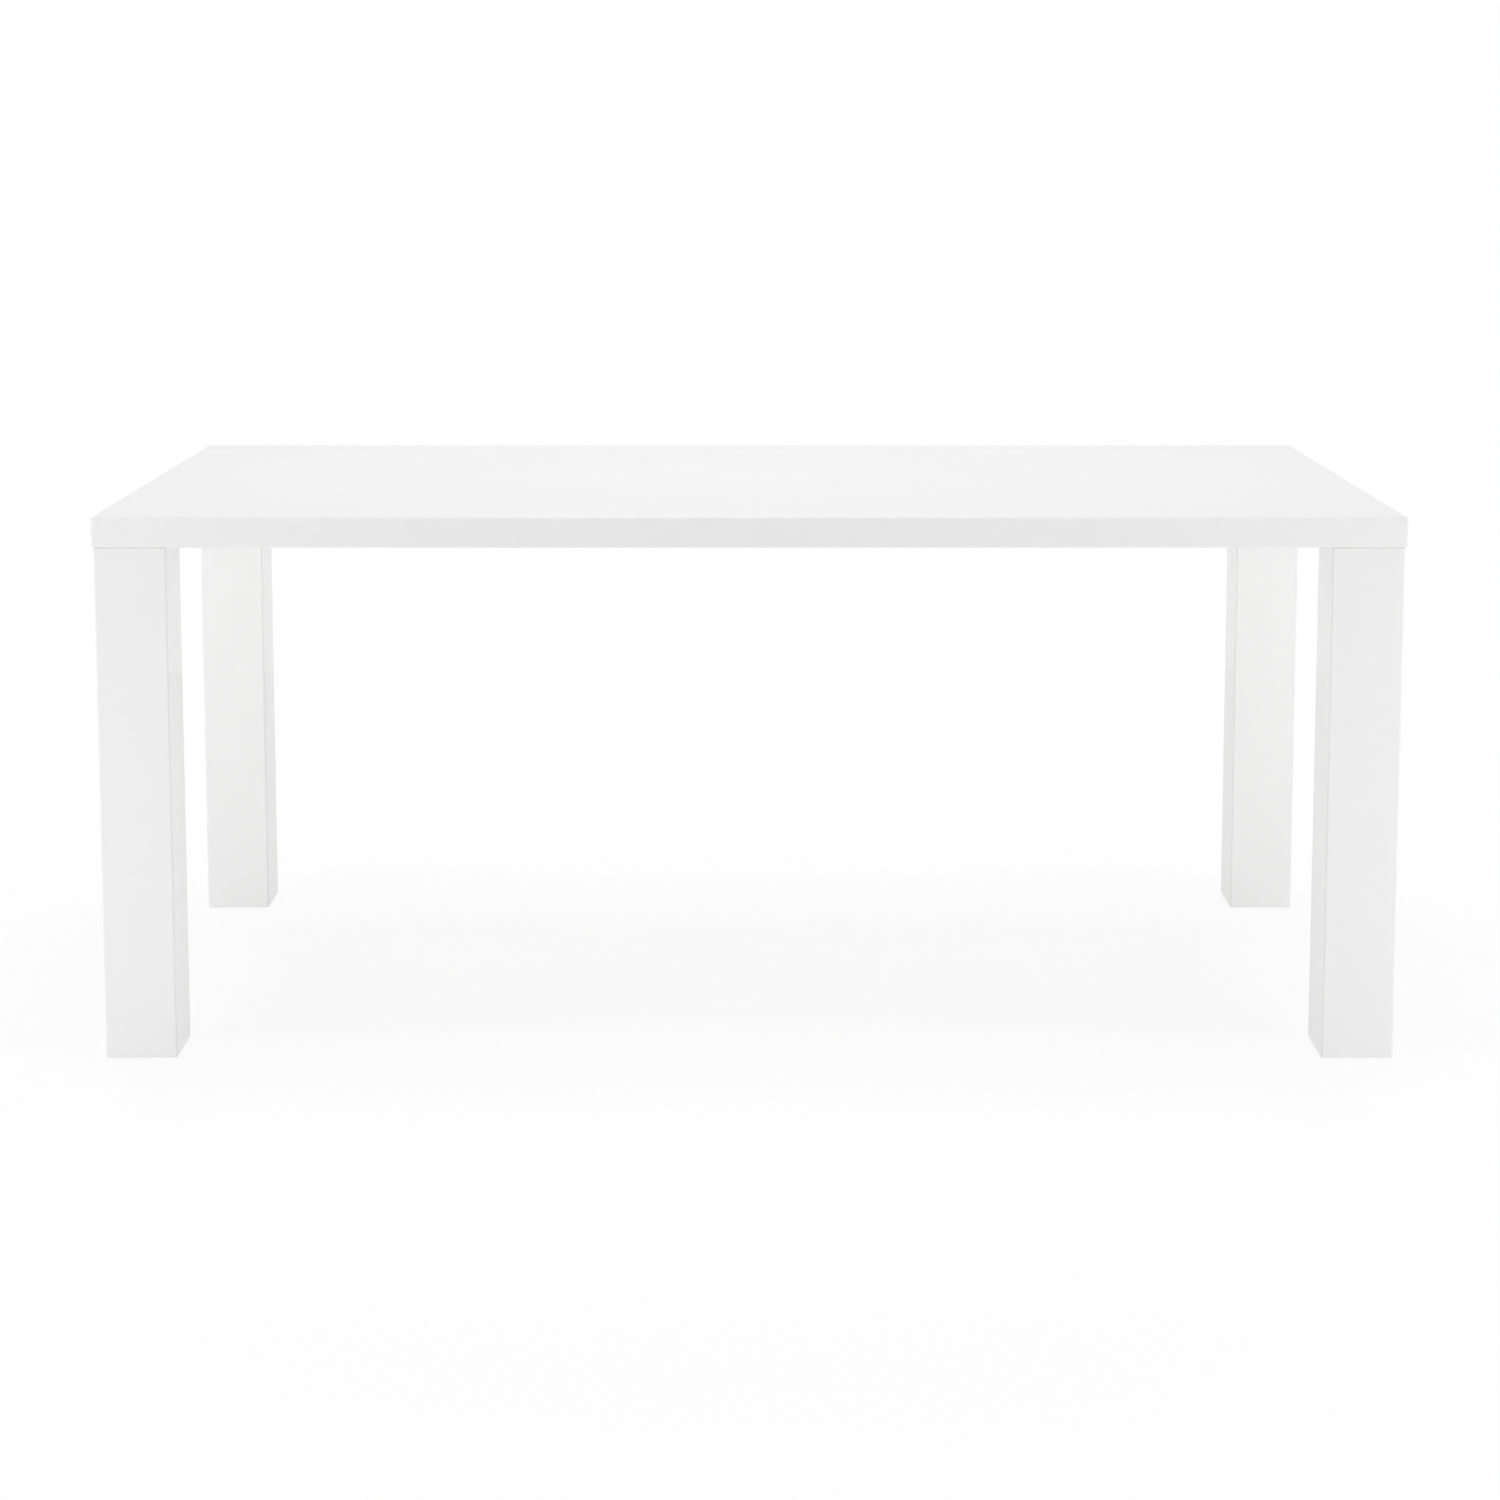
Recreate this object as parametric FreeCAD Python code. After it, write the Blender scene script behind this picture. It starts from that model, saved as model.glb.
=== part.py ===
"""A dining table with square legs flush at its corners: a lacquered torsion-box top on four hollow mitred legs.

Sizes are in millimetres. +X runs along the table, +Y towards its back and +Z up. The origin is on the floor, under
the middle of the top. What sits at a corner is built once, at the back right, and mirrored to the other three.
"""
import FreeCAD
import Part
import math
import os

V = FreeCAD.Vector

# Overall
LENGTH = 1800.0
DEPTH = 900.0
HEIGHT = 762.0

# Top: a thick board on a core of crossing rails, closed by a thin panel and lipped all round
TOP_BOARD = 18.0
CORE = 18.0
PANEL = 6.0
LIPPING = 18.0
TOP_ARRIS = 3.0
CROSS_RAILS = 5
LONG_RAILS = 2
RAIL_WIDTH = 40.0

# Legs: four mitred boards round a hollow, with a plug in each end
LEG = 100.0
LEG_BOARD = 15.0
LEG_INSET = 2.5
LEG_ARRIS = 3.0
LEG_END_ARRIS = 1.0
TOP_PLUG = 45.0
FOOT_PLUG = 30.0

# Leg plate: lies in a notch of the bottom panel, over the leg's end, with an ear along the leg's two inner faces
EAR = 60.0
EAR_MARGIN = 6.0
PLATE_GAP = 0.5
BLOCK_MARGIN = 15.0

# Leg bolts: low-headed socket screws, through two washers and the ear into inserts in the corner block
BOLT = 8.0
BOLT_PLAY = 0.5
BOLT_SET_IN = 25.0
BOLT_HEAD = 13.0
BOLT_HEAD_HEIGHT = 5.0
BOLT_END_GAP = 0.6
KEY = 5.0
KEY_DEPTH = 3.5
WASHER = 16.0
WASHER_THICKNESS = 1.6
SPRING_WASHER = 14.8
SPRING_WASHER_THICKNESS = 2.0
SPRING_WASHER_SLIT = 1.5
WASHER_PLAY = 0.2

# Threaded inserts, with a flange that is let in flush
INSERT_WALL = 2.0
INSERT_FLANGE = 2.0
INSERT_FLANGE_THICKNESS = 1.5
INSERT_BLIND_END = 2.0
FOOT_INSERT_LENGTH = 14.0

# Countersunk screws that hold the plate to the top plug
SCREW = 5.0
SCREW_HEAD = 10.0
SCREW_LENGTH = 35.0
SCREW_TIP = 5.0
SCREW_PITCH = 40.0
SCREW_PLAY = 0.25

# Levelling glide: a nylon pad that stands on the floor, and a stem that turns in it and screws into the foot plug
LEG_CLEAR = 2.0
PAD = 40.0
PAD_BEVEL = 1.5
PAD_SOLE = 2.5
PAD_LIP = 2.4
PAD_SHOULDER = 3.0
PAD_TOP = 24.0
PAD_HOLE = 7.0
PAD_STOP_GAP = 0.3
STEM = 8.0
STEM_LENGTH = 45.0
STEM_PLAY = 0.5
STEM_DISC = 16.0
STEM_DISC_THICKNESS = 3.0
STEM_KEY_DEPTH = 2.5
END_BEVEL = 1.0

# Fits: all round a piece that turns or slides in another, and all round one that is let in
RUN_FIT = 0.05
SET_FIT = 0.05

# Levels and places that follow from these
END_X = LENGTH / 2
END_Y = DEPTH / 2
UNDER_BOARD = HEIGHT - TOP_BOARD
UNDER_CORE = UNDER_BOARD - CORE
UNDER_TOP = UNDER_CORE - PANEL
INNER_X = END_X - LIPPING
INNER_Y = END_Y - LIPPING
LEG_X = END_X - LEG_INSET - LEG / 2
LEG_Y = END_Y - LEG_INSET - LEG / 2
EAR_X = LEG_X - LEG / 2 - EAR
EAR_Y = LEG_Y - LEG / 2 - EAR
HOLLOW = LEG - 2 * LEG_BOARD
BLOCK_X = EAR_X - BLOCK_MARGIN
BLOCK_Y = EAR_Y - BLOCK_MARGIN
EAR_CHAMFER = EAR - math.sqrt(2) * (WASHER / 2 + EAR_MARGIN)
INSERT_LENGTH = CORE - INSERT_BLIND_END
PAD_GROOVE_TOP = PAD_SOLE + STEM_DISC_THICKNESS + 2 * RUN_FIT
PAD_HEIGHT = PAD_GROOVE_TOP + PAD_LIP
FOOT_PLUG_UNDER = PAD_HEIGHT + PAD_STOP_GAP


def box(x0, x1, y0, y1, z0, z1):
    """A square-edged block between two corners."""
    return Part.makeBox(x1 - x0, y1 - y0, z1 - z0, V(x0, y0, z0))


def prism(outline, along):
    """A flat outline drawn out into a solid."""
    return Part.Face(Part.makePolygon(outline + outline[:1])).extrude(along)


def turned(profile):
    """A closed profile of (radius, height) points turned about a vertical axis at the origin."""
    points = [V(radius, 0, height) for radius, height in profile]
    face = Part.Face(Part.makePolygon(points + points[:1]))
    return face.revolve(V(0, 0, 0), V(0, 0, 1), 360)


def hexagon(across_flats, height):
    """A six-sided peg that stands on the origin."""
    radius = across_flats / math.sqrt(3)
    corners = [V(radius * math.cos(a), radius * math.sin(a), 0) for a in (math.pi / 3 * i for i in range(6))]
    return prism(corners, V(0, 0, height))


def moved(shape, x, y, z):
    """A copy of a shape, carried from the origin to a place."""
    copy = shape.copy()
    copy.translate(V(x, y, z))
    return copy


def mirrored(shape, side_x, side_y):
    """A shape from the back right corner, mirrored to the corner on these sides of the table."""
    if side_x < 0:
        shape = shape.mirror(V(0, 0, 0), V(1, 0, 0))
    if side_y < 0:
        shape = shape.mirror(V(0, 0, 0), V(0, 1, 0))
    return shape


def upright(edge):
    """Whether an edge runs up and down."""
    return edge.BoundBox.ZLength > edge.BoundBox.DiagonalLength / 2


# Top

def slab_outline():
    """The whole top as one block, with every arris rounded: what the mitred pieces are cut from."""
    slab = box(-END_X, END_X, -END_Y, END_Y, UNDER_TOP, HEIGHT)
    return slab.makeFillet(TOP_ARRIS, slab.Edges)


def top_board(slab):
    """The board that is laid on, cut back underneath along all four sides to meet the lippings at the arris."""
    across = [V(-END_X, -END_Y, HEIGHT), V(-END_X, END_Y, HEIGHT),
              V(-END_X, INNER_Y, UNDER_BOARD), V(-END_X, -INNER_Y, UNDER_BOARD)]
    along = [V(-END_X, -END_Y, HEIGHT), V(END_X, -END_Y, HEIGHT),
             V(INNER_X, -END_Y, UNDER_BOARD), V(-INNER_X, -END_Y, UNDER_BOARD)]
    return prism(across, V(LENGTH, 0, 0)).common(prism(along, V(0, DEPTH, 0))).common(slab)


def long_edge(slab):
    """The back lipping: mitred under the top board and at both ends."""
    section = [V(-END_X, END_Y, UNDER_TOP), V(-END_X, END_Y, HEIGHT),
               V(-END_X, INNER_Y, UNDER_BOARD), V(-END_X, INNER_Y, UNDER_TOP)]
    plan = [V(-END_X, END_Y, UNDER_TOP), V(END_X, END_Y, UNDER_TOP),
            V(INNER_X, INNER_Y, UNDER_TOP), V(-INNER_X, INNER_Y, UNDER_TOP)]
    return prism(section, V(LENGTH, 0, 0)).common(prism(plan, V(0, 0, HEIGHT - UNDER_TOP))).common(slab)


def short_edge(slab):
    """The right lipping: mitred as the long one is."""
    section = [V(END_X, -END_Y, UNDER_TOP), V(END_X, -END_Y, HEIGHT),
               V(INNER_X, -END_Y, UNDER_BOARD), V(INNER_X, -END_Y, UNDER_TOP)]
    plan = [V(END_X, -END_Y, UNDER_TOP), V(END_X, END_Y, UNDER_TOP),
            V(INNER_X, INNER_Y, UNDER_TOP), V(INNER_X, -INNER_Y, UNDER_TOP)]
    return prism(section, V(0, DEPTH, 0)).common(prism(plan, V(0, 0, HEIGHT - UNDER_TOP))).common(slab)


def rail_places(count, clear_half):
    """The centre lines of a row of rails, spread evenly over the clear width between the corner blocks."""
    pitch = 2 * clear_half / count
    return [pitch * (i - (count - 1) / 2) for i in range(count)]


def core_rails():
    """The egg-crate core: long rails notched from above and cross rails notched from below, half-lapped flush."""
    long_places = rail_places(LONG_RAILS, BLOCK_Y)
    cross_places = rail_places(CROSS_RAILS, BLOCK_X)
    half = RAIL_WIDTH / 2
    lap = UNDER_CORE + CORE / 2
    rails = {}
    for number, y in enumerate(long_places, 1):
        rail = box(-INNER_X, INNER_X, y - half, y + half, UNDER_CORE, UNDER_BOARD)
        for x in cross_places:
            rail = rail.cut(box(x - half, x + half, y - half, y + half, lap, UNDER_BOARD))
        rails[f"long_rail_{number}"] = rail
    for number, x in enumerate(cross_places, 1):
        rail = box(x - half, x + half, -INNER_Y, INNER_Y, UNDER_CORE, UNDER_BOARD)
        for y in long_places:
            rail = rail.cut(box(x - half, x + half, y - half, y + half, UNDER_CORE, lap))
        rails[f"cross_rail_{number}"] = rail
    return rails


def bolt_places():
    """The three bolts of the back right ear: one at the ear's corner and one beside each inner face of the leg.

    Those beside the leg stand in from its centre lines, so that the edge of the top hides their heads from a seat.
    """
    x = EAR_X + EAR / 2
    y = EAR_Y + EAR / 2
    return [(x, y), (LEG_X - BOLT_SET_IN, y), (x, LEG_Y - BOLT_SET_IN)]


def corner_block():
    """A solid block between the lippings, bored from below for the three inserts."""
    block = box(BLOCK_X, INNER_X, BLOCK_Y, INNER_Y, UNDER_CORE, UNDER_BOARD)
    for x, y in bolt_places():
        block = block.cut(moved(insert_seat(BOLT, INSERT_LENGTH), x, y, UNDER_CORE))
    return block


def plate_outline(gap, outer_x, outer_y):
    """The leg plate's plan at the back right, grown by a gap on its inner sides."""
    x = EAR_X - gap
    y = EAR_Y - gap
    return [V(x + EAR_CHAMFER, y, UNDER_TOP), V(outer_x, y, UNDER_TOP), V(outer_x, outer_y, UNDER_TOP),
            V(x, outer_y, UNDER_TOP), V(x, y + EAR_CHAMFER, UNDER_TOP)]


def bottom_panel():
    """The thin panel that closes the core, flush between the lippings, with a notch for each leg plate."""
    panel = box(-INNER_X, INNER_X, -INNER_Y, INNER_Y, UNDER_TOP, UNDER_CORE)
    notch = prism(plate_outline(PLATE_GAP, END_X, END_Y), V(0, 0, PANEL))
    for side_x, side_y in CORNERS.values():
        panel = panel.cut(mirrored(notch, side_x, side_y))
    return panel


# Legs

def leg_outline():
    """The back right leg as one post, with its four long arrises and its two ends eased."""
    half = LEG / 2
    post = box(LEG_X - half, LEG_X + half, LEG_Y - half, LEG_Y + half, LEG_CLEAR, UNDER_TOP)
    post = post.makeFillet(LEG_ARRIS, [e for e in post.Edges if upright(e)])
    return post.makeFillet(LEG_END_ARRIS, [e for e in post.Edges if not upright(e)])


def leg_boards(post):
    """The post's four boards by the way they face, each mitred along both long edges."""
    half = LEG / 2
    hollow = HOLLOW / 2
    boards = {}
    for face_x, face_y in ((1, 0), (-1, 0), (0, 1), (0, -1)):
        plan = []
        for reach, sides in ((half, (-1, 1)), (hollow, (1, -1))):
            for side in sides:
                x = LEG_X + reach * (face_x or side)
                y = LEG_Y + reach * (face_y or side)
                plan.append(V(x, y, LEG_CLEAR))
        boards[face_x, face_y] = prism(plan, V(0, 0, UNDER_TOP - LEG_CLEAR)).common(post)
    return boards


def screw_places():
    """The four plate screws of the back right leg."""
    half = SCREW_PITCH / 2
    return [(LEG_X + half * i, LEG_Y + half * j) for i in (-1, 1) for j in (-1, 1)]


def top_plug():
    """The block glued into the leg's upper end, with pilot holes for the plate screws."""
    half = HOLLOW / 2
    plug = box(LEG_X - half, LEG_X + half, LEG_Y - half, LEG_Y + half, UNDER_TOP - TOP_PLUG, UNDER_TOP)
    depth = SCREW_LENGTH - PANEL
    for x, y in screw_places():
        plug = plug.cut(Part.makeCylinder(SCREW / 2 + SET_FIT, depth, V(x, y, UNDER_TOP - depth)))
    return plug


def foot_plug():
    """The block glued into the leg's lower end, bored through for the stem and let in below for its insert."""
    half = HOLLOW / 2
    top = FOOT_PLUG_UNDER + FOOT_PLUG
    plug = box(LEG_X - half, LEG_X + half, LEG_Y - half, LEG_Y + half, FOOT_PLUG_UNDER, top)
    plug = plug.cut(Part.makeCylinder(STEM / 2 + STEM_PLAY, FOOT_PLUG, V(LEG_X, LEG_Y, FOOT_PLUG_UNDER)))
    return plug.cut(moved(insert_seat(STEM, FOOT_INSERT_LENGTH), LEG_X, LEG_Y, FOOT_PLUG_UNDER))


# Leg plates and fixings

def leg_plate():
    """The steel plate between leg and top: countersunk over the plug, bored in its ear for the bolts."""
    plate = prism(plate_outline(0, INNER_X - PLATE_GAP, INNER_Y - PLATE_GAP), V(0, 0, PANEL))
    for x, y in bolt_places():
        plate = plate.cut(Part.makeCylinder(BOLT / 2 + BOLT_PLAY, PANEL, V(x, y, UNDER_TOP)))
    sink = SCREW_HEAD / 2 + SET_FIT
    for x, y in screw_places():
        plate = plate.cut(Part.makeCylinder(SCREW / 2 + SCREW_PLAY, PANEL, V(x, y, UNDER_TOP)))
        plate = plate.cut(Part.makeCone(0, sink, sink, V(x, y, UNDER_CORE - sink)))
    return plate


def threaded_insert(thread, length):
    """A flanged insert for a thread of this diameter, standing on its flange at the origin."""
    bore = thread / 2 + RUN_FIT
    body = thread / 2 + INSERT_WALL
    flange = body + INSERT_FLANGE
    return turned([(bore, 0), (flange, 0), (flange, INSERT_FLANGE_THICKNESS), (body, INSERT_FLANGE_THICKNESS),
                   (body, length), (bore, length)])


def insert_seat(thread, length):
    """What is bored out for such an insert, a little larger all round, with a flat end."""
    body = thread / 2 + INSERT_WALL + SET_FIT
    flange = body + INSERT_FLANGE
    return turned([(0, 0), (flange, 0), (flange, INSERT_FLANGE_THICKNESS), (body, INSERT_FLANGE_THICKNESS),
                   (body, length), (0, length)])


def washer():
    """A plain washer on the origin."""
    bore = BOLT / 2 + WASHER_PLAY
    return turned([(bore, 0), (WASHER / 2, 0), (WASHER / 2, WASHER_THICKNESS), (bore, WASHER_THICKNESS)])


def spring_washer():
    """A split washer on the origin, pressed flat."""
    bore = BOLT / 2 + WASHER_PLAY
    rim = SPRING_WASHER / 2
    ring = turned([(bore, 0), (rim, 0), (rim, SPRING_WASHER_THICKNESS), (bore, SPRING_WASHER_THICKNESS)])
    half = SPRING_WASHER_SLIT / 2
    return ring.cut(box(0, rim, -half, half, 0, SPRING_WASHER_THICKNESS))


def leg_bolt():
    """A low-headed socket screw, its head under the origin and its shank up to just short of the insert's end."""
    shank = WASHER_THICKNESS + SPRING_WASHER_THICKNESS + PANEL + INSERT_LENGTH - BOLT_END_GAP
    head = BOLT_HEAD / 2
    bolt = turned([(0, -BOLT_HEAD_HEIGHT), (head - END_BEVEL, -BOLT_HEAD_HEIGHT),
                   (head, END_BEVEL - BOLT_HEAD_HEIGHT), (head, 0), (BOLT / 2, 0), (BOLT / 2, shank - END_BEVEL),
                   (BOLT / 2 - END_BEVEL, shank), (0, shank)])
    return bolt.cut(moved(hexagon(KEY, KEY_DEPTH), 0, 0, -BOLT_HEAD_HEIGHT))


def plate_screw():
    """A countersunk wood screw, its head flush with the origin and its point down."""
    shank = SCREW / 2
    head = SCREW_HEAD / 2
    return turned([(0, 0), (head, 0), (shank, shank - head), (shank, SCREW_TIP - SCREW_LENGTH), (0, -SCREW_LENGTH)])


# Levelling glides

def glide_pad():
    """The nylon pad under the back right leg: a bevelled foot, hollowed to trap the stem's disc."""
    rim = PAD / 2
    lip = STEM / 2 + RUN_FIT
    groove = STEM_DISC / 2 + RUN_FIT
    pad = turned([(PAD_HOLE / 2, 0), (rim - PAD_BEVEL, 0), (rim, PAD_BEVEL), (rim, PAD_HEIGHT - PAD_SHOULDER),
                  (PAD_TOP / 2, PAD_HEIGHT), (lip, PAD_HEIGHT), (lip, PAD_GROOVE_TOP), (groove, PAD_GROOVE_TOP),
                  (groove, PAD_SOLE), (PAD_HOLE / 2, PAD_SOLE)])
    return moved(pad, LEG_X, LEG_Y, 0)


def glide_stem():
    """The back right stem: a disc trapped in the pad, with a key socket below and a threaded shank above."""
    disc = STEM_DISC / 2
    shank = STEM / 2
    top = STEM_DISC_THICKNESS + STEM_LENGTH
    stem = turned([(0, 0), (disc, 0), (disc, STEM_DISC_THICKNESS), (shank, STEM_DISC_THICKNESS),
                   (shank, top - END_BEVEL), (shank - END_BEVEL, top), (0, top)])
    stem = stem.cut(hexagon(KEY, STEM_KEY_DEPTH))
    return moved(stem, LEG_X, LEG_Y, PAD_SOLE + RUN_FIT)


# Assembly

CORNERS = {"front_left": (-1, -1), "front_right": (1, -1), "back_left": (-1, 1), "back_right": (1, 1)}
FACING = {(0, -1): "front", (0, 1): "back", (-1, 0): "left", (1, 0): "right"}


def top_nodes():
    """The pieces of the top by name."""
    slab = slab_outline()
    back = long_edge(slab)
    right = short_edge(slab)
    nodes = {
        "top_board": top_board(slab),
        "front_edge": mirrored(back, 1, -1),
        "back_edge": back,
        "left_edge": mirrored(right, -1, 1),
        "right_edge": right,
        "bottom_panel": bottom_panel(),
    }
    nodes.update(core_rails())
    block = corner_block()
    for corner, sides in CORNERS.items():
        nodes[f"corner_block_{corner}"] = mirrored(block, *sides)
    return nodes


def leg_nodes():
    """The pieces of the four legs, their plates and their glides by name."""
    boards = leg_boards(leg_outline())
    plugs = {"leg_top_plug": top_plug(), "leg_foot_plug": foot_plug(), "leg_plate": leg_plate()}
    glide = {"glide_pad": glide_pad(), "glide_stem": glide_stem()}
    nodes = {}
    for corner, (side_x, side_y) in CORNERS.items():
        for (face_x, face_y), board in boards.items():
            facing = FACING[face_x * side_x, face_y * side_y]
            nodes[f"leg_{corner}_{facing}_board"] = mirrored(board, side_x, side_y)
        for name, piece in {**plugs, **glide}.items():
            nodes[f"{name}_{corner}"] = mirrored(piece, side_x, side_y)
    return nodes


def fixing_nodes():
    """The fixings, each kind as one group of separate pieces."""
    bolt_seat = UNDER_TOP - WASHER_THICKNESS - SPRING_WASHER_THICKNESS
    at_bolts = {
        "leg_bolts": (leg_bolt(), bolt_seat),
        "leg_bolt_spring_washers": (spring_washer(), bolt_seat),
        "leg_bolt_washers": (washer(), UNDER_TOP - WASHER_THICKNESS),
        "leg_bolt_inserts": (threaded_insert(BOLT, INSERT_LENGTH), UNDER_CORE),
    }
    groups = {name: [moved(piece, x, y, z) for x, y in bolt_places()] for name, (piece, z) in at_bolts.items()}
    screw = plate_screw()
    groups["plate_screws"] = [moved(screw, x, y, UNDER_CORE) for x, y in screw_places()]
    groups["foot_inserts"] = [moved(threaded_insert(STEM, FOOT_INSERT_LENGTH), LEG_X, LEG_Y, FOOT_PLUG_UNDER)]
    nodes = {}
    for name, pieces in groups.items():
        copies = [mirrored(piece, *sides) for sides in CORNERS.values() for piece in pieces]
        nodes[name] = Part.makeCompound(copies)
    return nodes


os.makedirs("parts", exist_ok=True)
for name, shape in {**top_nodes(), **leg_nodes(), **fixing_nodes()}.items():
    shape.exportStep(f"parts/{name}.step")
    print(f"{name}: {len(shape.Solids)} solids, {shape.Volume / 1000:.1f} cm3, valid {shape.isValid()}")
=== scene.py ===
"""A white gloss dining table: the finish of every piece, its finer fixings, and the studio round it."""
import math

import bmesh
import bpy
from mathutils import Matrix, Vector


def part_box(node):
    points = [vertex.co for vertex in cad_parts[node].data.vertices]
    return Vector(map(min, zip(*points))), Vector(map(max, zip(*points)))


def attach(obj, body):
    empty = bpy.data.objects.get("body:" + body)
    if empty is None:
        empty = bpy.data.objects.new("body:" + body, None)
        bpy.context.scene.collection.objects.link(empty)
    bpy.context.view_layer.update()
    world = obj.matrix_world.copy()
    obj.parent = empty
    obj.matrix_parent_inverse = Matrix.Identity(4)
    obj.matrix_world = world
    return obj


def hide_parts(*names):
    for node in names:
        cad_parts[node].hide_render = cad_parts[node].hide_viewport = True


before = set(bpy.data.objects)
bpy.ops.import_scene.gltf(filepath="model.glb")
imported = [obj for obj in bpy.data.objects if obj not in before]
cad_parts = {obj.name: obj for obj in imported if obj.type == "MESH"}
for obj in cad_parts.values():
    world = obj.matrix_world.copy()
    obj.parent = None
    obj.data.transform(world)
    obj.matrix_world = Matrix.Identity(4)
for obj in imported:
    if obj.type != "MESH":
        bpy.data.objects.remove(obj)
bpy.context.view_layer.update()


# Core of the top.
# An egg-crate of planed pine rails, half-lapped and glued, with a block at each corner for the leg bolts.
# It is glued between the top board and the bottom panel, and shows only when the top is opened.

class Socket:
    """One output in a shader tree. Arithmetic on it adds Math nodes, and add() adds any other node."""

    def __init__(self, tree, socket=None):
        self.tree = tree
        self.socket = socket

    def add(self, kind, settings=None, inputs=None, output=0):
        """A new node: its settings are set first, then the values or links of its sockets."""
        node = self.tree.nodes.new(kind)
        for name, value in (settings or {}).items():
            setattr(node, name, value)
        for name, value in (inputs or {}).items():
            if isinstance(value, Socket):
                self.tree.links.new(value.socket, node.inputs[name])
            else:
                node.inputs[name].default_value = value
        return Socket(self.tree, node.outputs[output] if node.outputs else None)

    def math(self, operation, *values):
        """A Math node with this operation on these values."""
        return self.add("ShaderNodeMath", {"operation": operation}, dict(enumerate(values)))

    def __add__(self, other):
        return self.math("ADD", self, other)

    def __mul__(self, other):
        return self.math("MULTIPLY", self, other)

    __radd__ = __add__
    __rmul__ = __mul__


def finish(name, recipe):
    """A material from a recipe, which gets the empty tree and returns the sockets of the surface shader."""
    material = bpy.data.materials.new(name)
    material.use_nodes = True
    tree = material.node_tree
    tree.nodes.clear()
    start = Socket(tree)
    surface = start.add("ShaderNodeBsdfPrincipled", {}, recipe(start))
    start.add("ShaderNodeOutputMaterial", {}, {"Surface": surface})
    return material


def object_place(tree):
    """Where a point lies on the table, in metres."""
    return tree.add("ShaderNodeTexCoord", output="Object")


def noise(place, size, detail):
    """Cloudy noise about 0.5 whose lumps are of this size in metres, broken up by finer octaves."""
    return place.add("ShaderNodeTexNoise", {}, {"Vector": place, "Scale": 1 / size, "Detail": detail})


# A Mix node's sockets for numbers, vectors and colours have the same names, so these go by their places.
MIX_AMOUNT = 0
FIRST_COLOUR = 6
SECOND_COLOUR = 7
MIXED_COLOUR = 2


def mixed(amount, first, second):
    """A colour between two colours."""
    inputs = {MIX_AMOUNT: amount, FIRST_COLOUR: first, SECOND_COLOUR: second}
    return amount.add("ShaderNodeMix", {"data_type": "RGBA"}, inputs, MIXED_COLOUR)


def bumped(height, depth):
    """The surface's normal, tilted by a height that runs from 0 to 1 over this depth in metres."""
    return height.add("ShaderNodeBump", {}, {"Height": height, "Distance": depth})


def dress(material, *beginnings):
    """Give a finish to every node of the frame whose name starts with one of these."""
    for name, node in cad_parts.items():
        if name.startswith(beginnings):
            node.data.materials.clear()
            node.data.materials.append(material)


RING_WIDTH = 0.0035
PORE_SIZE = 0.0012
PORE_DEPTH = 0.00012
GRAIN_STRETCH = 0.05
# The length over which a Wave node repeats at a scale of 1.
WAVE_PERIOD = math.tau / 20
EARLY_WOOD = (0.66, 0.48, 0.28, 1.0)
LATE_WOOD = (0.45, 0.26, 0.11, 1.0)
GRAIN_TURNS = {"x": (0, -math.pi / 2, 0), "y": (math.pi / 2, 0, 0), "z": (0, 0, 0)}


def planed_pine(along):
    """The recipe of pine whose grain runs along this axis: late rings, and pores drawn out with the grain."""
    def recipe(tree):
        turned_place = tree.add("ShaderNodeMapping", {},
                                {"Vector": object_place(tree), "Rotation": GRAIN_TURNS[along]})
        fibre_place = tree.add("ShaderNodeMapping", {},
                               {"Vector": turned_place, "Scale": (1, 1, GRAIN_STRETCH)})
        rings = tree.add("ShaderNodeTexWave",
                         {"wave_type": "RINGS", "rings_direction": "Z", "wave_profile": "SAW"},
                         {"Vector": fibre_place, "Scale": WAVE_PERIOD / RING_WIDTH, "Distortion": 3.0,
                          "Detail": 2.0, "Detail Scale": 0.3}, 1)
        pores = noise(fibre_place, PORE_SIZE, detail=3.0)
        late = rings * rings * 0.7 + pores * 0.3
        return {"Base Color": mixed(late, EARLY_WOOD, LATE_WOOD), "Roughness": 0.62 + late * 0.18,
                "Normal": bumped(pores + late * 0.5, PORE_DEPTH)}
    return recipe


pine = {along: finish("pine_along_" + along, planed_pine(along)) for along in GRAIN_TURNS}
dress(pine["x"], "long_rail", "corner_block")
dress(pine["y"], "cross_rail")


# Bolt inserts.
# Flanged sleeves of zinc-plated steel, threaded inside, three to a corner block.
# Each is driven into its block from below, so that its flange lies flush with the wood.

ZINC_PALE = (0.74, 0.75, 0.76, 1.0)
ZINC_BLUE = (0.60, 0.63, 0.67, 1.0)
ZINC_CLOUD_SIZE = 0.006
ZINC_TOOTH_SIZE = 0.0004
ZINC_TOOTH_DEPTH = 0.00001


def zinc_plate(tree):
    """Bright zinc with the faint blue clouding of its passivation and a fine satin tooth."""
    place = object_place(tree)
    cloud = noise(place, ZINC_CLOUD_SIZE, detail=3.0)
    tooth = noise(place, ZINC_TOOTH_SIZE, detail=2.0)
    return {"Base Color": mixed(cloud, ZINC_PALE, ZINC_BLUE), "Metallic": 1.0,
            "Roughness": 0.22 + cloud * 0.14 + tooth * 0.06, "Normal": bumped(tooth, ZINC_TOOTH_DEPTH)}


zinc = finish("bright_zinc", zinc_plate)
dress(zinc, "leg_bolt_inserts")


# Top board and edges.
# Fibreboard, mitred along the arris and at the corners, glued round the core, filled and sanded seamless.
# It is sprayed white and polished to a high gloss: a faint orange peel and polishing haze are left in it.

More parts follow.
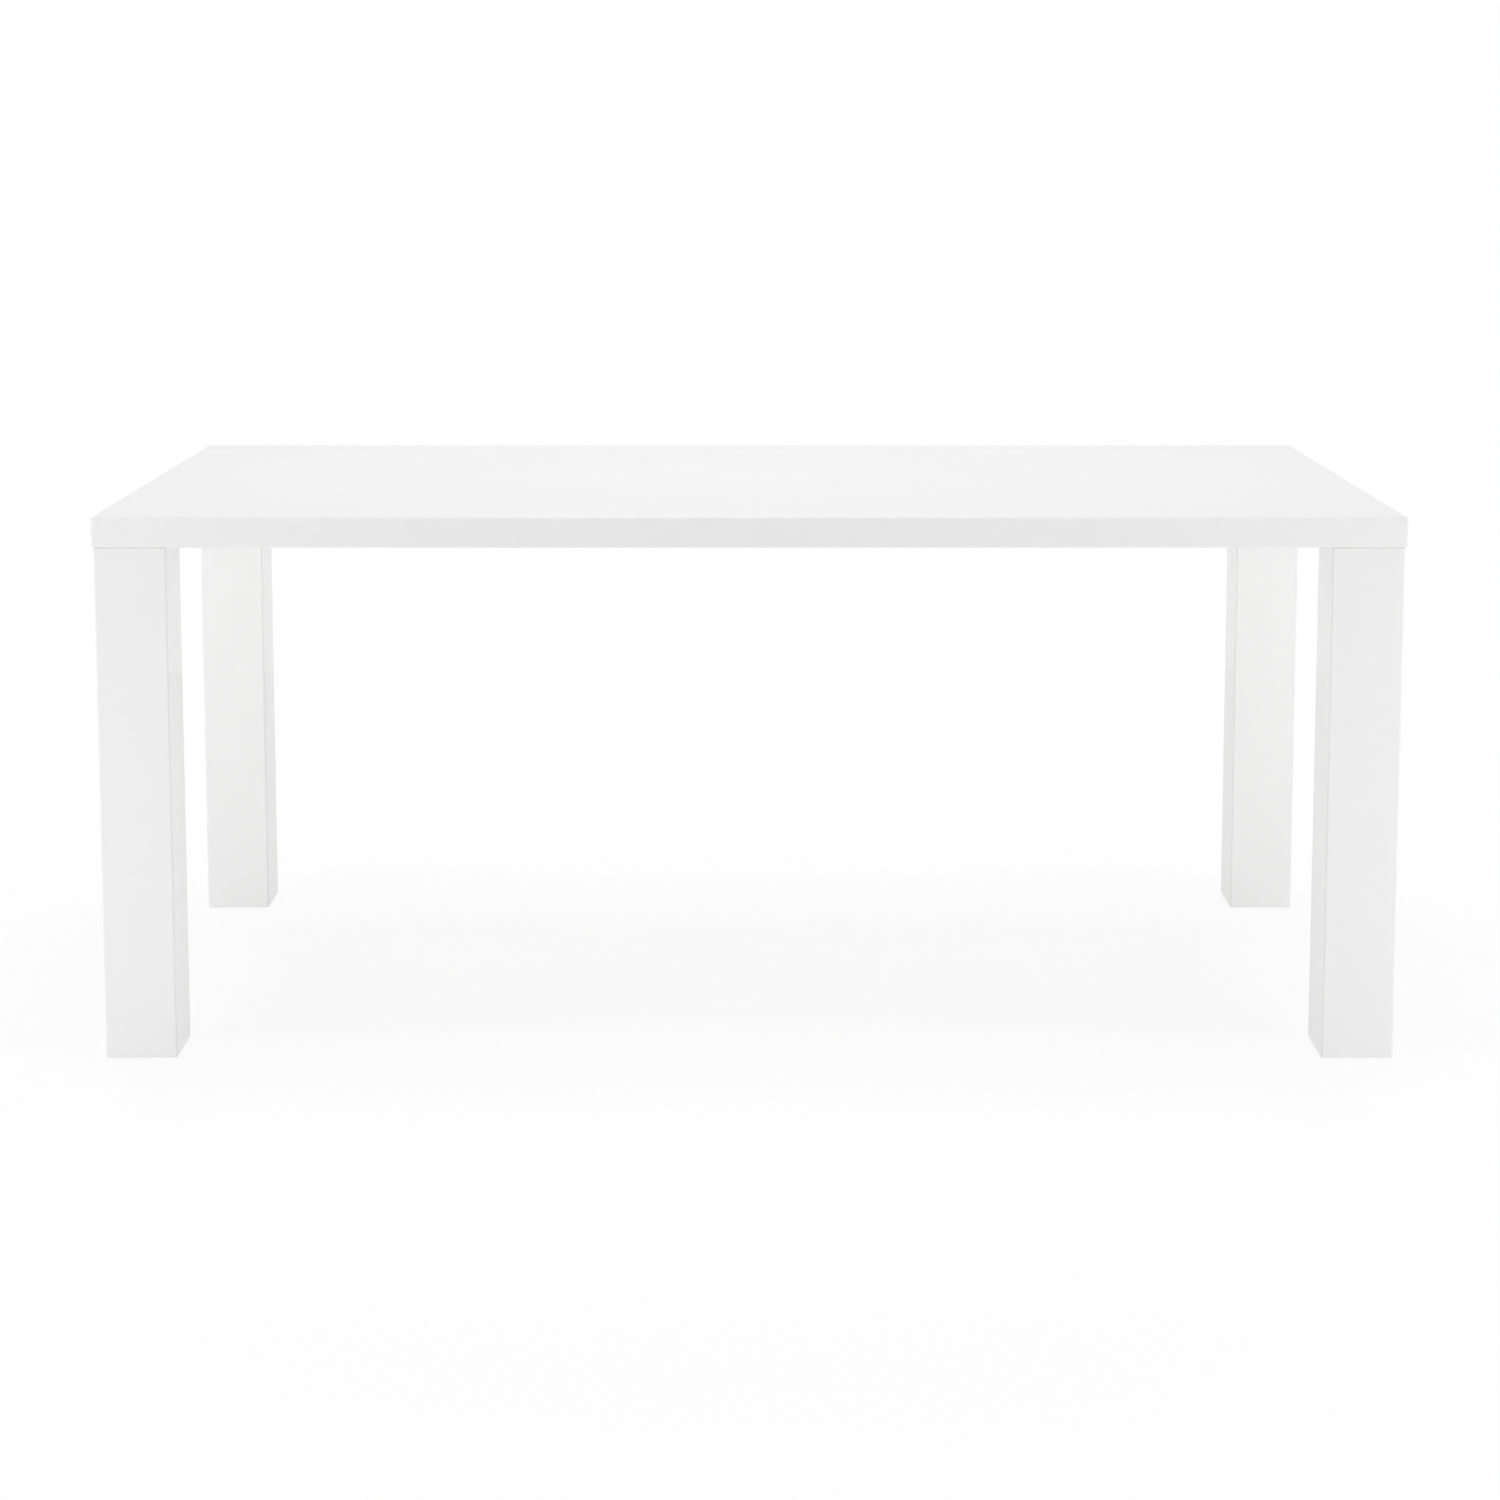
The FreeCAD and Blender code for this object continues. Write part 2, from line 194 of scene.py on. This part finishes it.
LACQUER_WHITE = (0.875, 0.875, 0.873, 1.0)
LACQUER_CLOUD = (0.862, 0.862, 0.861, 1.0)
LACQUER_CLOUD_SIZE = 0.3
HAZE_SIZE = 0.09
PEEL_SIZE = 0.0035
PEEL_DEPTH = 0.000004
DUST_SIZE = 0.0009


def gloss_lacquer(tree):
    """Deep white gloss: faintly clouded colour, haze in broad passes, orange peel a few millimetres wide."""
    place = object_place(tree)
    cloud = noise(place, LACQUER_CLOUD_SIZE, detail=2.0)
    haze = noise(place, HAZE_SIZE, detail=3.0)
    peel = noise(place, PEEL_SIZE, detail=1.0)
    dust = noise(place, DUST_SIZE, detail=0.0)
    return {"Base Color": mixed(cloud, LACQUER_WHITE, LACQUER_CLOUD), "IOR": 1.5,
            "Roughness": 0.05 + haze * 0.05, "Normal": bumped(peel + dust * 0.1, PEEL_DEPTH)}


lacquer = finish("white_gloss_lacquer", gloss_lacquer)
dress(lacquer, "top_board", "front_edge", "back_edge", "left_edge", "right_edge")


# Bottom panel.
# Thin fibreboard, let in between the edges and notched at each corner for its leg plate.
# It is rolled with one satin coat of the same white, which dries with a fine stipple.

SATIN_WHITE = (0.80, 0.80, 0.79, 1.0)
SATIN_THIN = (0.74, 0.735, 0.72, 1.0)
COVER_SIZE = 0.05
STIPPLE_SIZE = 0.0025
STIPPLE_DEPTH = 0.00006


def satin_coat(tree):
    """A thin rolled coat: the board shows through a little, and the roller leaves a stipple."""
    place = object_place(tree)
    cover = noise(place, COVER_SIZE, detail=4.0)
    stipple = noise(place, STIPPLE_SIZE, detail=2.0)
    return {"Base Color": mixed(cover, SATIN_WHITE, SATIN_THIN), "Roughness": 0.38 + stipple * 0.16,
            "Normal": bumped(stipple, STIPPLE_DEPTH)}


dress(finish("satin_undercoat", satin_coat), "bottom_panel")


# Legs.
# Four fibreboards to a leg, mitred along its arrises, glued round a pine plug at each end and sprayed alike.
# A grey band of painted shade on the eased edge at the top end makes a fine dark line where the leg meets the
# top.

# Painted shade for the joint under the top: how far down from the leg's top end it reaches, and its grey.
JOINT_SHADE_HEIGHT = 0.0012
JOINT_SHADE_GREY = (0.70, 0.70, 0.695, 1.0)


def leg_lacquer(tree):
    """The gloss of the top, with a grey band of painted shade along the eased edge at the leg's top end."""
    sockets = gloss_lacquer(tree)
    height = tree.add("ShaderNodeSeparateXYZ", {}, {"Vector": object_place(tree)}, "Z")
    leg_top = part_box("leg_front_left_front_board")[1].z
    # Painted shade: points within that band below the leg's top end are turned grey, standing in for the
    # shadow in the joint.
    joint_shade = tree.math("GREATER_THAN", height, leg_top - JOINT_SHADE_HEIGHT)
    sockets["Base Color"] = mixed(joint_shade, sockets["Base Color"], JOINT_SHADE_GREY)
    return sockets


dress(finish("white_gloss_legs", leg_lacquer), "leg_front", "leg_back")
dress(pine["z"], "leg_top_plug", "leg_foot_plug")


# Leg plates and their screws.
# Six millimetre steel, cut to shape and zinc-plated, let into the bottom panel flush with the underside.
# Four countersunk wood screws hold each to its leg's top plug, from above, before the leg is fitted.

STEEL_PALE = (0.66, 0.66, 0.66, 1.0)
STEEL_DULL = (0.52, 0.53, 0.55, 1.0)
MILL_STRETCH = 0.04
MILL_GRAIN_SIZE = 0.0006
MILL_GRAIN_DEPTH = 0.000012
DULL_CLOUD_SIZE = 0.02


def rolled_steel(tree):
    """Zinc over rolled sheet: the mill's grain along one way, and a dull cloud where the plating is thin."""
    place = object_place(tree)
    grain_place = tree.add("ShaderNodeMapping", {}, {"Vector": place, "Scale": (MILL_STRETCH, 1, 1)})
    grain = noise(grain_place, MILL_GRAIN_SIZE, detail=3.0)
    cloud = noise(place, DULL_CLOUD_SIZE, detail=4.0)
    return {"Base Color": mixed(cloud * 0.7 + grain * 0.3, STEEL_PALE, STEEL_DULL), "Metallic": 1.0,
            "Roughness": 0.30 + cloud * 0.14 + grain * 0.08, "Normal": bumped(grain, MILL_GRAIN_DEPTH)}


dress(finish("plated_sheet_steel", rolled_steel), "leg_plate")

SIDES = 48
SHARP = math.radians(32)
CREST_SHARE = 0.2


def axes(node, reach):
    """Where the upright pieces of a group stand: the middle of each cluster of points within this reach."""
    clusters = []
    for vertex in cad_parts[node].data.vertices:
        point = vertex.co.to_2d()
        for cluster in clusters:
            if (cluster[0] - point).length < reach:
                cluster.append(point)
                break
        else:
            clusters.append([point])
    return [[(min(values) + max(values)) / 2 for values in zip(*cluster)] for cluster in clusters]


def turned_pieces(name, places, rings, material, hollow=False):
    """Like turned pieces as one mesh, from rings of (height, radius) in order along the skin.
    The two ends are capped or, if hollow, joined. A radius may be a function of the angle, as in a thread."""
    form = bmesh.new()
    for x, y in places:
        loops = []
        for height, radius in rings:
            loop = []
            for side in range(SIDES):
                angle = math.tau * side / SIDES
                reach = radius(angle) if callable(radius) else radius
                point = (x + reach * math.cos(angle), y + reach * math.sin(angle), height)
                loop.append(form.verts.new(point))
            loops.append(loop)
        if hollow:
            loops.append(loops[0])
        else:
            form.faces.new(loops[0])
            form.faces.new(loops[-1])
        for low, high in zip(loops, loops[1:]):
            for side in range(SIDES):
                after = (side + 1) % SIDES
                form.faces.new((low[side], low[after], high[after], high[side]))
    bmesh.ops.recalc_face_normals(form, faces=form.faces)
    for face in form.faces:
        face.smooth = True
    for edge in form.edges:
        edge.smooth = edge.calc_face_angle(0) < SHARP
    mesh = bpy.data.meshes.new(name)
    form.to_mesh(mesh)
    form.free()
    mesh.materials.append(material)
    piece = bpy.data.objects.new(name, mesh)
    bpy.context.scene.collection.objects.link(piece)
    return piece


def threaded(start, end, radius, depth, pitch, steps):
    """The rings of a helical thread from one height to another, running out over one pitch at each end."""
    count = round(abs(end - start) / pitch * steps)

    def ring(share):
        height = start + (end - start) * share
        run_out = min(1, share * count / steps, (1 - share) * count / steps)

        def reach(angle):
            turn = height / pitch - angle / math.tau
            ridge = abs(2 * (turn - math.floor(turn)) - 1)
            return radius - depth * run_out * (1 - min(1, ridge / (1 - CREST_SHARE)))
        return height, reach
    return [ring(number / count) for number in range(1, count)]


SCREW_RADIUS = 0.0025
SCREW_CORE = 0.0016
SCREW_HEAD = 0.005
SCREW_RIM = 0.0004
SCREW_PITCH = 0.0022
SCREW_STEPS = 10
SCREW_POINT = 0.005
SCREW_TIP = 0.00016
SCREW_SHANK = 0.009
RECESS_LENGTH = 0.0024
RECESS_WIDTH = 0.0006
RECESS_DEPTH = 0.0024
RECESS_END_LENGTH = 0.0012
RECESS_END_WIDTH = 0.00042
NEXT_TO_NOTHING = 1e-9


def cross(length, width):
    """The outline of a cross recess, as a radius for each angle."""
    def reach(angle):
        x = abs(math.cos(angle)) + NEXT_TO_NOTHING
        y = abs(math.sin(angle)) + NEXT_TO_NOTHING
        return max(min(length / x, width / y), min(width / x, length / y))
    return reach


screw_tip, screw_top = (corner.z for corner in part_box("plate_screws"))
screw_neck = screw_top - SCREW_HEAD + SCREW_CORE
screw_rings = [(screw_top - RECESS_DEPTH, cross(RECESS_END_LENGTH, RECESS_END_WIDTH)),
               (screw_top, cross(RECESS_LENGTH, RECESS_WIDTH)),
               (screw_top, SCREW_HEAD - SCREW_RIM / 2), (screw_top - SCREW_RIM / 2, SCREW_HEAD),
               (screw_top - SCREW_RIM, SCREW_HEAD - SCREW_RIM / 2),
               (screw_neck, SCREW_CORE), (screw_neck - SCREW_SHANK, SCREW_CORE)]
screw_rings += threaded(screw_neck - SCREW_SHANK, screw_tip + SCREW_POINT, SCREW_RADIUS,
                        SCREW_RADIUS - SCREW_CORE, SCREW_PITCH, SCREW_STEPS)
screw_rings += [(screw_tip + SCREW_POINT, SCREW_CORE), (screw_tip, SCREW_TIP)]

plate_screws = turned_pieces("plate_screws_threaded", axes("plate_screws", 3 * SCREW_HEAD), screw_rings, zinc)
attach(plate_screws, "table")
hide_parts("plate_screws")


# Leg bolts and washers.
# Low-headed socket bolts of zinc-plated steel, each through a spring washer and a plain washer.
# They are driven from below with a hexagon key, through the leg plate and into the inserts.

THREAD_RADIUS = 0.004
THREAD_DEPTH = 0.00077
THREAD_PITCH = 0.00125
THREAD_STEPS = 8
END_BEVEL = 0.001
KEY_ACROSS = 0.005
KEY_LEAD = 0.0003
KEY_DEPTH = 0.0035
BOLT_HEAD = 0.0065
BOLT_HEAD_HEIGHT = 0.005
UNDER_HEAD_EASE = 0.0003
EDGE_STEPS = 4


def hexagon(across):
    """The outline of a hexagon socket with a corner at angle 0, as a radius for each angle."""
    def reach(angle):
        return across / 2 / math.cos(angle % (math.pi / 3) - math.pi / 6)
    return reach


def rounded(height, radius, size, start, end):
    """The rings of an edge rounded about a centre at this height and radius, from one angle to another."""
    angles = [start + (end - start) * step / EDGE_STEPS for step in range(EDGE_STEPS + 1)]
    return [(height + size * math.sin(angle), radius + size * math.cos(angle)) for angle in angles]


def key_bolt(low, high, head, head_height, key_depth):
    """The rings of a socket bolt on its head: socket, head with a rounded edge, thread and bevelled end."""
    rings = [(low + key_depth, hexagon(KEY_ACROSS)), (low + KEY_LEAD, hexagon(KEY_ACROSS)),
             (low, hexagon(KEY_ACROSS + KEY_LEAD))]
    rings += rounded(low + END_BEVEL, head - END_BEVEL, END_BEVEL, -math.pi / 2, 0)
    top = low + head_height
    rings += [(top - UNDER_HEAD_EASE, head), (top, head - UNDER_HEAD_EASE), (top, THREAD_RADIUS)]
    rings += threaded(top, high - END_BEVEL, THREAD_RADIUS, THREAD_DEPTH, THREAD_PITCH, THREAD_STEPS)
    rings += [(high - END_BEVEL, THREAD_RADIUS), (high, THREAD_RADIUS - END_BEVEL)]
    return rings


bolt_low, bolt_high = (corner.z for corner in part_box("leg_bolts"))
bolt_rings = key_bolt(bolt_low, bolt_high, BOLT_HEAD, BOLT_HEAD_HEIGHT, KEY_DEPTH)
leg_bolts = turned_pieces("leg_bolts_threaded", axes("leg_bolts", 2 * BOLT_HEAD), bolt_rings, zinc)
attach(leg_bolts, "table")
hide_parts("leg_bolts")
dress(zinc, "leg_bolt_washers", "leg_bolt_spring_washers")


# Levelling glides.
# A threaded stem screws into an insert in each leg's foot plug, and its disc turns in a moulded nylon pad.
# A hexagon key through the hole in the pad turns the stem, and the pad slides up or down without turning.

CORNERS = ("front_left", "front_right", "back_left", "back_right")
STEM_DISC = 0.008
STEM_DISC_THICKNESS = 0.003
STEM_KEY_DEPTH = 0.0025
RUN_FIT = 0.00005
PAD_RIM = 0.020
PAD_TOP = 0.012
PAD_HOLE = 0.0035
PAD_SOLE = 0.0025
PAD_SHOULDER = 0.003
PAD_EDGE = 0.0015
PAD_CREASE = 0.0006
SHOULDER_TURN = math.pi * 0.38
NYLON_WHITE = (0.78, 0.775, 0.75, 1.0)
NYLON_WARM = (0.72, 0.71, 0.67, 1.0)
FLOW_SIZE = 0.008
SPARK_SIZE = 0.0005
SPARK_DEPTH = 0.00003


def moulded_nylon(tree):
    """Natural nylon: faintly warm, flow-clouded, with the fine spark texture of its mould."""
    place = object_place(tree)
    flow = noise(place, FLOW_SIZE, detail=3.0)
    spark = noise(place, SPARK_SIZE, detail=2.0)
    return {"Base Color": mixed(flow, NYLON_WHITE, NYLON_WARM), "IOR": 1.53,
            "Roughness": 0.34 + spark * 0.16, "Normal": bumped(spark, SPARK_DEPTH)}


def pad_rings(low, high):
    """The skin of a pad: sole, rounded rim, sloping shoulder, lip over the disc, groove and key hole."""
    groove = STEM_DISC + RUN_FIT
    groove_top = low + PAD_SOLE + STEM_DISC_THICKNESS + 2 * RUN_FIT
    lip = THREAD_RADIUS + RUN_FIT
    shoulder = high - PAD_SHOULDER
    rings = [(low, PAD_HOLE + PAD_CREASE)]
    rings += rounded(low + PAD_EDGE, PAD_RIM - PAD_EDGE, PAD_EDGE, -math.pi / 2, 0)
    rings += rounded(shoulder - PAD_CREASE, PAD_RIM - PAD_CREASE, PAD_CREASE, 0, SHOULDER_TURN)
    rings += rounded(high - PAD_CREASE, PAD_TOP - PAD_CREASE, PAD_CREASE, SHOULDER_TURN, math.pi / 2)
    rings += [(high, lip + PAD_CREASE), (high - PAD_CREASE, lip), (groove_top, lip), (groove_top, groove)]
    rings += [(low + PAD_SOLE, groove), (low + PAD_SOLE, PAD_HOLE), (low + PAD_CREASE, PAD_HOLE)]
    return rings


nylon = finish("moulded_nylon", moulded_nylon)
dress(zinc, "foot_inserts")
for corner in CORNERS:
    stem_node = "glide_stem_" + corner
    stem_low, stem_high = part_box(stem_node)
    stem_axis = ((stem_low + stem_high) / 2).to_2d()
    stem_rings = key_bolt(stem_low.z, stem_high.z, STEM_DISC, STEM_DISC_THICKNESS, STEM_KEY_DEPTH)
    stem = turned_pieces(stem_node + "_threaded", [stem_axis], stem_rings, zinc)
    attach(stem, "stem_" + corner)
    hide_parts(stem_node)
    pad_node = "glide_pad_" + corner
    pad_low, pad_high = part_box(pad_node)
    pad_skin = pad_rings(pad_low.z, pad_high.z)
    pad = turned_pieces(pad_node + "_moulded", [stem_axis], pad_skin, nylon, hollow=True)
    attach(pad, "pad_" + corner)
    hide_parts(pad_node)


# Floor.
# White studio paper in four quarters, and each goes down with the pad that stands on it, as on uneven ground.
# A quarter slopes away under its neighbours, so one that lies lower meets them in a gentle rise, not a step.

FLOOR_WIDTH = 10.0
FLOOR_FRONT = -6.0
FLOOR_BACK = 2.5
FLOOR_SLOPE_LENGTH = 0.3
FLOOR_SLOPE_DEPTH = 0.02
FLOOR_COLOUR = (0.88, 0.88, 0.88, 1.0)
FLOOR_SHADE = (0.14, 0.14, 0.14, 1.0)
FLOOR_GLOW = 0.87
FLOOR_IN_GLOSS = 0.875
SHADOW_REACH = 1.3
SHADOW_FADE = 0.9
FULL_WHITE = 1.0


def mixed_surface(amount, first, second):
    """A surface between two surfaces."""
    return amount.add("ShaderNodeMixShader", {}, dict(enumerate((amount, first, second))))


def studio_surface(tree, output, seen, mirrored, plain):
    """What the camera sees, what the gloss mirrors and what lights the table, each by its kind of ray."""
    def ray(kind):
        return tree.add("ShaderNodeLightPath", output=kind)
    lit = mixed_surface(ray("Is Camera Ray"), plain, seen)
    in_gloss = tree.math("MAXIMUM", ray("Is Glossy Ray"), ray("Is Transmission Ray"))
    tree.add(output, {}, {"Surface": mixed_surface(in_gloss, lit, mirrored)})


def studio_floor():
    """White paper: the table's shadow is kept near it and fades into plain white further out."""
    material = bpy.data.materials.new("studio_floor")
    material.use_nodes = True
    material.cycles.emission_sampling = "NONE"
    material.node_tree.nodes.clear()
    tree = Socket(material.node_tree)
    reach = tree.add("ShaderNodeVectorMath", {"operation": "LENGTH"}, {0: object_place(tree)}, "Value")
    far = tree.add("ShaderNodeMapRange", {"interpolation_type": "SMOOTHSTEP"},
                   {"Value": reach, "From Min": SHADOW_REACH, "From Max": SHADOW_REACH + SHADOW_FADE})
    shade = tree.add("ShaderNodeBsdfDiffuse", {}, {"Color": FLOOR_SHADE})
    glow = tree.add("ShaderNodeEmission", {}, {"Strength": FLOOR_GLOW})
    near = tree.add("ShaderNodeAddShader", {}, {0: shade, 1: glow})
    white = tree.add("ShaderNodeEmission", {}, {"Strength": FULL_WHITE})
    seen = mixed_surface(far, near, white)
    mirrored = tree.add("ShaderNodeEmission", {}, {"Strength": FLOOR_IN_GLOSS})
    plain = tree.add("ShaderNodeBsdfDiffuse", {}, {"Color": FLOOR_COLOUR})
    studio_surface(tree, "ShaderNodeOutputMaterial", seen, mirrored, plain)
    return material


white_paper = studio_floor()
for corner in CORNERS:
    far_x = math.copysign(FLOOR_WIDTH / 2, 1 if corner.endswith("right") else -1)
    far_y = FLOOR_BACK if corner.startswith("back") else FLOOR_FRONT
    across = (-math.copysign(FLOOR_SLOPE_LENGTH, far_x), 0, far_x)
    along = (-math.copysign(FLOOR_SLOPE_LENGTH, far_y), 0, far_y)
    points = [(x, y, 0 if row and column else -FLOOR_SLOPE_DEPTH)
              for row, y in enumerate(along) for column, x in enumerate(across)]
    # Three rows of three points make four cells.
    cells = [(first, first + 1, first + 4, first + 3) for first in (0, 1, 3, 4)]
    quarter_mesh = bpy.data.meshes.new("floor_" + corner)
    quarter_mesh.from_pydata(points, [], cells)
    quarter_mesh.materials.append(white_paper)
    quarter = bpy.data.objects.new("floor_" + corner, quarter_mesh)
    bpy.context.scene.collection.objects.link(quarter)
    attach(quarter, "pad_" + corner)


# Light.
# Softboxes all round, so that no side is burnt out: a wide one overhead, a far and a near pair in front,
# two weaker pairs behind, and a faint one on the floor under the top. A white room fills the shade left.

ROOM_WHITE = (1.0, 1.0, 1.0, 1.0)
ROOM_FILL = 0.265
ROOM_IN_GLOSS = 0.955
TABLE_MIDDLE = (0, 0, 0.4)
OVERHEAD_PLACE = (0, 0, 3.3)
OVERHEAD_SIZE = (3.6, 2.4)
OVERHEAD_WATTS = 66
UNDER_PLACE = (0, 0, 0.02)
UNDER_SIZE = (1.5, 0.7)
UNDER_WATTS = 0.6
FAR_FRONT_PLACE = (4.0, -6.0, 0.8)
FAR_FRONT_SIZE = (3.0, 1.5)
FAR_FRONT_WATTS = 75
FRONT_SIDE_PLACE = (3.2, -1.6, 0.5)
FRONT_SIDE_SIZE = (1.2, 0.9)
FRONT_SIDE_WATTS = 29
BACK_SIDE_PLACE = (3.2, 1.6, 0.5)
BACK_SIDE_SIZE = (1.2, 0.9)
BACK_SIDE_WATTS = 4.5
BACK_PLACE = (1.8, 3.0, 0.7)
BACK_AIM = (0.8, 0.4, 0.5)
BACK_SIZE = (1.6, 1.5)
BACK_WATTS = 28.5


def softbox(name, place, aim, size, watts, side=1):
    """A soft rectangular lamp on the right, or its mirror image on the left, that the gloss doesn't show."""
    mirror = Vector((side, 1, 1))
    start = mirror * Vector(place)
    end = mirror * Vector(aim)
    lamp = bpy.data.lights.new(name, "AREA")
    lamp.shape = "RECTANGLE"
    lamp.size, lamp.size_y = size
    lamp.energy = watts
    holder = bpy.data.objects.new(name, lamp)
    holder.location = start
    holder.rotation_euler = (end - start).to_track_quat("-Z", "Y").to_euler()
    holder.visible_camera = False
    holder.visible_glossy = False
    bpy.context.scene.collection.objects.link(holder)


softbox("overhead_softbox", OVERHEAD_PLACE, TABLE_MIDDLE, OVERHEAD_SIZE, OVERHEAD_WATTS)
softbox("under_softbox", UNDER_PLACE, TABLE_MIDDLE, UNDER_SIZE, UNDER_WATTS)
for side in (-1, 1):
    softbox("far_front_softbox", FAR_FRONT_PLACE, TABLE_MIDDLE, FAR_FRONT_SIZE, FAR_FRONT_WATTS, side)
    softbox("front_side_softbox", FRONT_SIDE_PLACE, TABLE_MIDDLE, FRONT_SIDE_SIZE, FRONT_SIDE_WATTS, side)
    softbox("back_side_softbox", BACK_SIDE_PLACE, TABLE_MIDDLE, BACK_SIDE_SIZE, BACK_SIDE_WATTS, side)
    softbox("back_softbox", BACK_PLACE, BACK_AIM, BACK_SIZE, BACK_WATTS, side)

room = bpy.data.worlds.new("white_room")
room.use_nodes = True
room.node_tree.nodes.clear()
bpy.context.scene.world = room
room_tree = Socket(room.node_tree)
room_light = [room_tree.add("ShaderNodeBackground", {}, {"Color": ROOM_WHITE, "Strength": strength})
              for strength in (FULL_WHITE, ROOM_IN_GLOSS, ROOM_FILL)]
studio_surface(room_tree, "ShaderNodeOutputWorld", *room_light)


# Camera.
# A long lens level with the middle of the table's length, tilted a little down.
# Its frame is shifted so that the upright legs stay nearly parallel.

SENSOR = 36.0
PHOTO_WIDTH = 1500
FOCAL_PIXELS = 2984
CAMERA_PLACE = (0.001, -4.485, 1.306)
CAMERA_TILT = math.radians(6.67)
CAMERA_SHIFT = -0.19

lens = bpy.data.cameras.new("camera")
lens.sensor_width = SENSOR
lens.lens = FOCAL_PIXELS * SENSOR / PHOTO_WIDTH
lens.shift_y = CAMERA_SHIFT
camera = bpy.data.objects.new("camera", lens)
camera.location = CAMERA_PLACE
camera.rotation_euler = (math.pi / 2 - CAMERA_TILT, 0, 0)
bpy.context.scene.collection.objects.link(camera)
bpy.context.scene.camera = camera
bpy.context.scene.view_settings.view_transform = "Standard"
